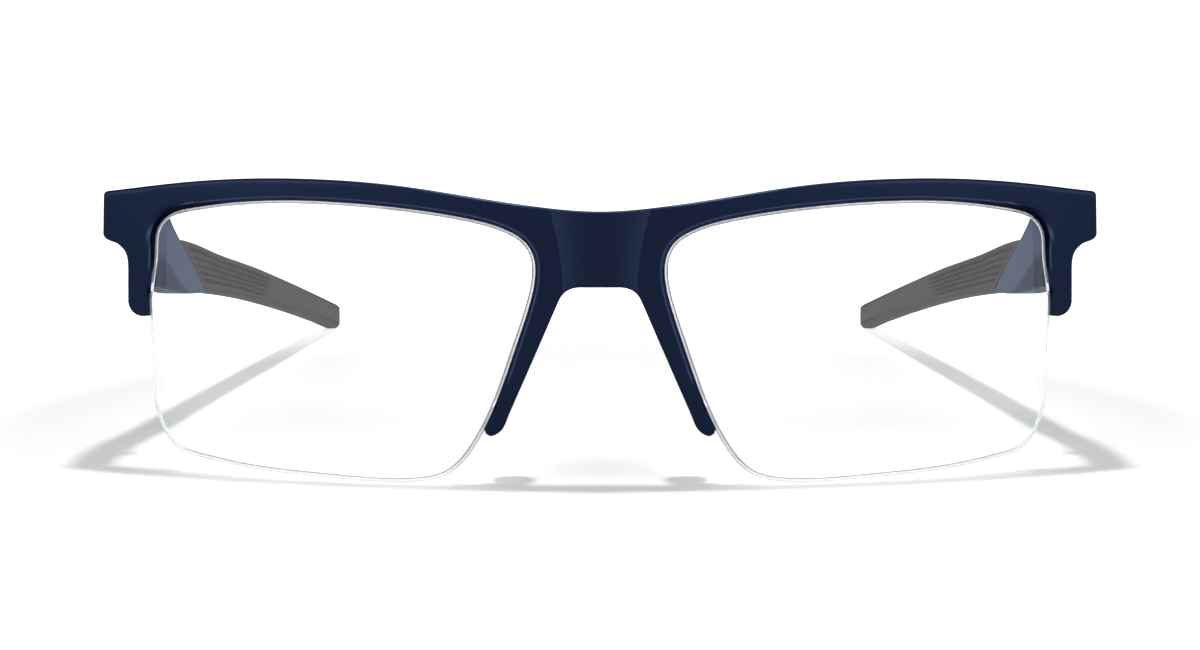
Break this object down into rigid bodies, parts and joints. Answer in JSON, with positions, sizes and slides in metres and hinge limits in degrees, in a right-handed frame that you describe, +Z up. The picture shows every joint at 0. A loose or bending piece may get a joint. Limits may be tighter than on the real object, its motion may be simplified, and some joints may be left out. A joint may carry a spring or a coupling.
{
  "type": "half rim eyeglasses",
  "caption": "Half rim eyeglasses with a moulded brow front, clear lenses held below by nylon cords, and folding temples with ribbed rubber grips.",
  "frame": {"origin": "centre of the footprint on the table, which the open glasses stand on with both lenses and both temple tips", "axes": "+X to the wearer's left, +Y back along the open temples, +Z up"},
  "size_m": [0.1398, 0.1554, 0.0414],
  "materials": {
    "navy_shell": "moulded, semi gloss navy",
    "clear_lens": "polished clear, coated",
    "nylon_cord": "clear drawn nylon",
    "soft_pad": "soft satin",
    "hinge_metal": "turned and milled",
    "screw_steel": "bright",
    "grip_rubber": "matte charcoal"
  },
  "bodies": {
    "front": {"front_frame": "navy_shell", "lens_left": "clear_lens", "lens_right": "clear_lens", "lens_cord_left": "nylon_cord", "lens_cord_right": "nylon_cord", "nose_pad_left": "soft_pad", "nose_pad_right": "soft_pad", "hinge_front_left": "hinge_metal", "hinge_front_right": "hinge_metal", "hinge_screw_left": "screw_steel", "hinge_screw_right": "screw_steel", "front_leaf_screws_left": "screw_steel", "front_leaf_screws_right": "screw_steel"},
    "temple_left": {"hinge_temple_left": "hinge_metal", "temple_leaf_screws_left": "screw_steel", "temple_arm_left": "navy_shell", "temple_grip_left": "grip_rubber"},
    "temple_right": {"hinge_temple_right": "hinge_metal", "temple_leaf_screws_right": "screw_steel", "temple_arm_right": "navy_shell", "temple_grip_right": "grip_rubber"}
  },
  "joints": [
    {"name": "temple_left_fold", "type": "hinge", "parent": "front", "child": "temple_left", "pos_m": [0.06488, -0.04908, 0.03428], "axis": [0, 0.0785, 0.9969], "range_deg": [0, 84]},
    {"name": "temple_right_fold", "type": "hinge", "parent": "front", "child": "temple_right", "pos_m": [-0.06488, -0.04908, 0.03428], "axis": [0, -0.0785, -0.9969], "range_deg": [0, 76]}
  ]
}
